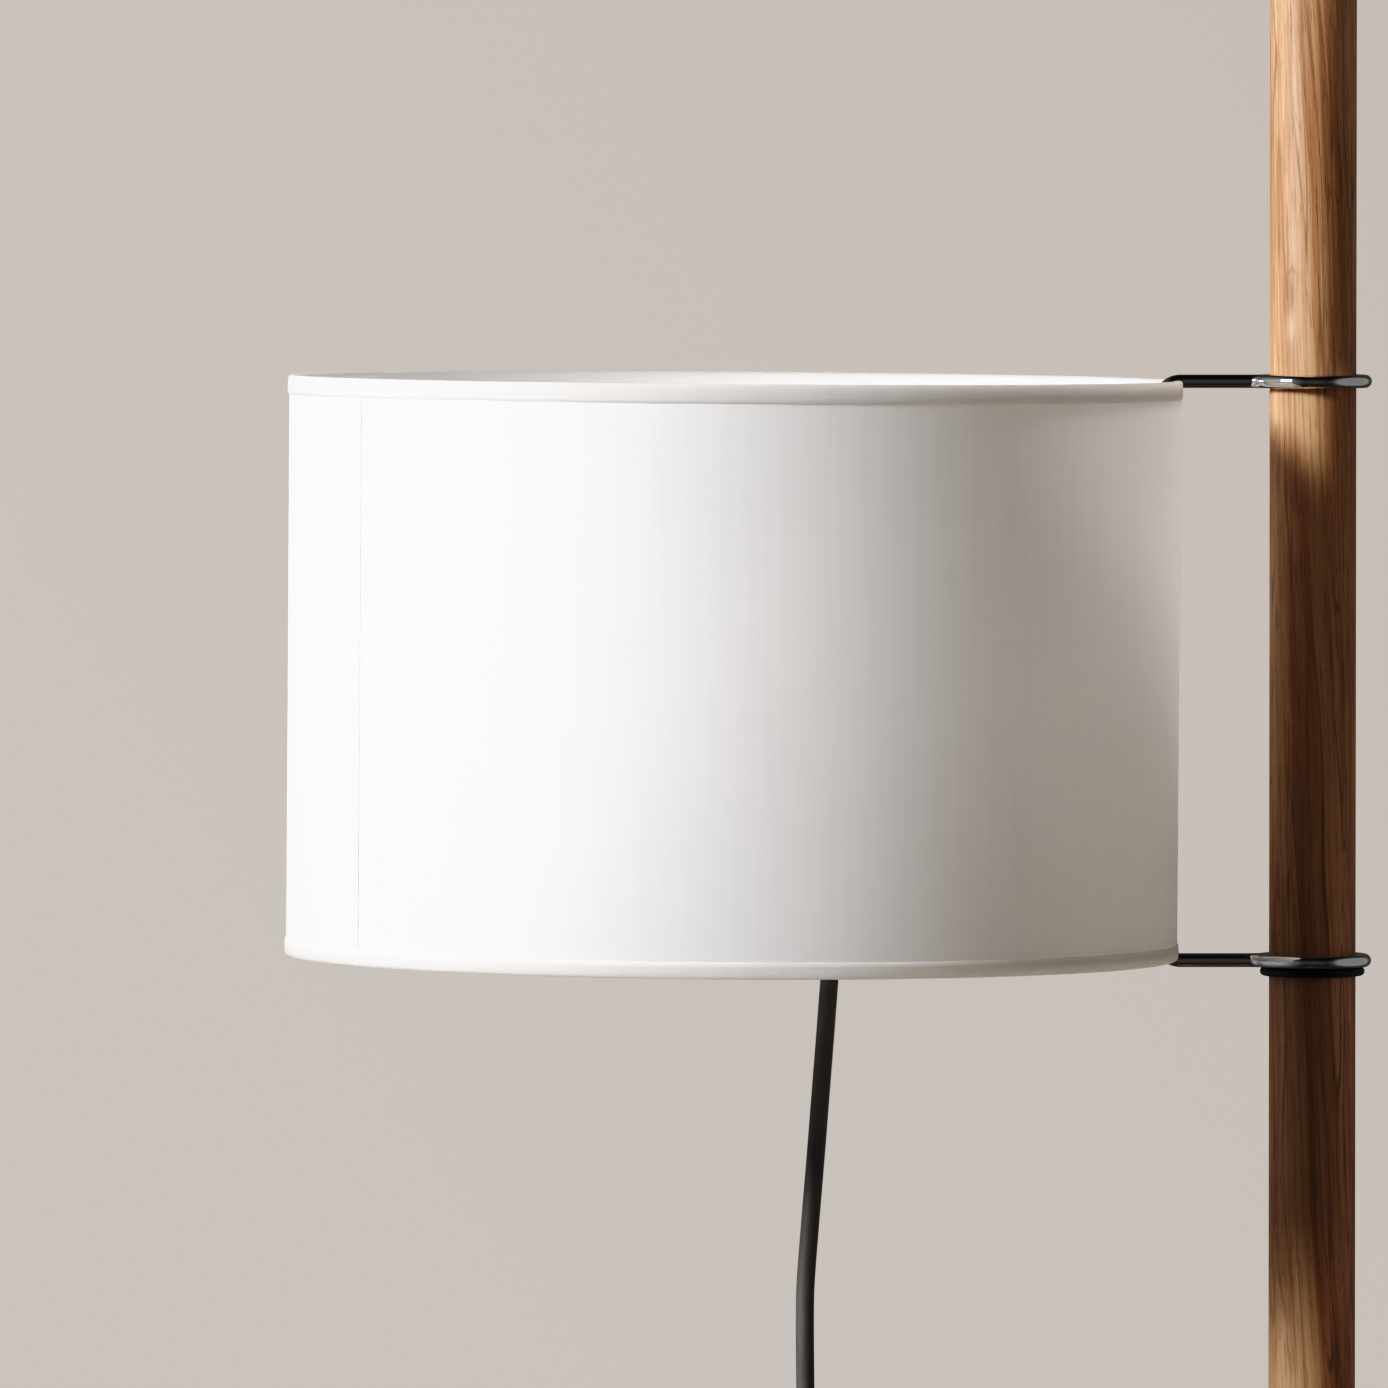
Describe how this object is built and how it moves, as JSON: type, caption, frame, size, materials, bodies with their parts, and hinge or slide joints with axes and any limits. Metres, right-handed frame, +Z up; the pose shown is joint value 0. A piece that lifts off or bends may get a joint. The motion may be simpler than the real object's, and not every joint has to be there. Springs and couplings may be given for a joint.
{
  "type": "tripod floor lamp",
  "caption": "Floor lamp with a white drum shade hung beside a round wooden mast on a bent wire frame that slides and turns on it, on a tripod base, with cord, foot switch and plug.",
  "frame": {"origin": "on the floor, on the mast's axis", "axes": "+Z up along the mast; the shade hangs towards -X, and the side the picture shows faces -Y"},
  "size_m": [0.7322, 0.5742, 1.66],
  "materials": {
    "wood": "oiled, satin",
    "chrome": "polished",
    "zinc": "zinc plated",
    "brass": "nickel or plain brass",
    "rubber": "matt",
    "black_plastic": "satin",
    "ceramic": "glazed porcelain",
    "shade_cloth": "plain weave",
    "shade_tape": "cotton tape",
    "shade_liner": "white styrene sheet",
    "bulb_glass": "opal",
    "cord": "black cord"
  },
  "bodies": {
    "stand": {"mast": "wood", "mast_insert": "brass", "hub": "wood", "hub_bolt": "zinc", "hub_washer": "zinc", "leg_1": "wood", "leg_2": "wood", "leg_3": "wood", "leg_pins": "wood", "foot_1": "rubber", "foot_2": "rubber", "foot_3": "rubber", "foot_screws": "zinc", "cord_lower": "cord", "switch_base": "black_plastic", "switch_cover": "black_plastic", "switch_block": "ceramic", "switch_spring": "zinc", "switch_sleeves": "rubber", "switch_screws": "zinc", "cord_tail": "cord", "cord_coil": "cord", "cord_end": "cord", "coil_tie": "rubber", "plug_sleeve": "rubber", "plug_body": "rubber", "plug_pins": "brass"},
    "stop_ring": {"stop_ring": "rubber"},
    "shade": {"shade_frame": "chrome", "ring_top": "zinc", "ring_bottom": "zinc", "shade_liner": "shade_liner", "shade_fabric": "shade_cloth", "trim_top": "shade_tape", "trim_bottom": "shade_tape", "lamp_arm": "chrome", "holder_washers": "zinc", "holder_nut": "zinc", "holder_nipple": "zinc", "holder_cap": "black_plastic", "holder_shell": "black_plastic", "holder_insert": "ceramic", "holder_thread": "brass", "holder_contact": "brass", "cord_gland": "black_plastic", "bulb_glass": "bulb_glass", "bulb_cap": "brass", "bulb_tip": "brass", "cord_upper": "cord"},
    "switch_button": {"switch_button": "black_plastic"}
  },
  "joints": [
    {"name": "height", "type": "slide", "parent": "stand", "child": "stop_ring", "axis": [0, 0, 1], "range_m": [-0.55, 0.25], "deforming": ["cord_lower", "cord_upper"]},
    {"name": "swivel", "type": "hinge", "parent": "stop_ring", "child": "shade", "pos_m": [0, 0, 1.16], "axis": [0, 0, 1], "range_deg": [-90, 90], "deforming": ["cord_upper"]},
    {"name": "switch_press", "type": "slide", "parent": "stand", "child": "switch_button", "axis": [0, 0, -1], "range_m": [0, 0.003], "stiffness_N_per_m": 400, "springref_m": -0.002, "deforming": ["switch_spring"]}
  ]
}
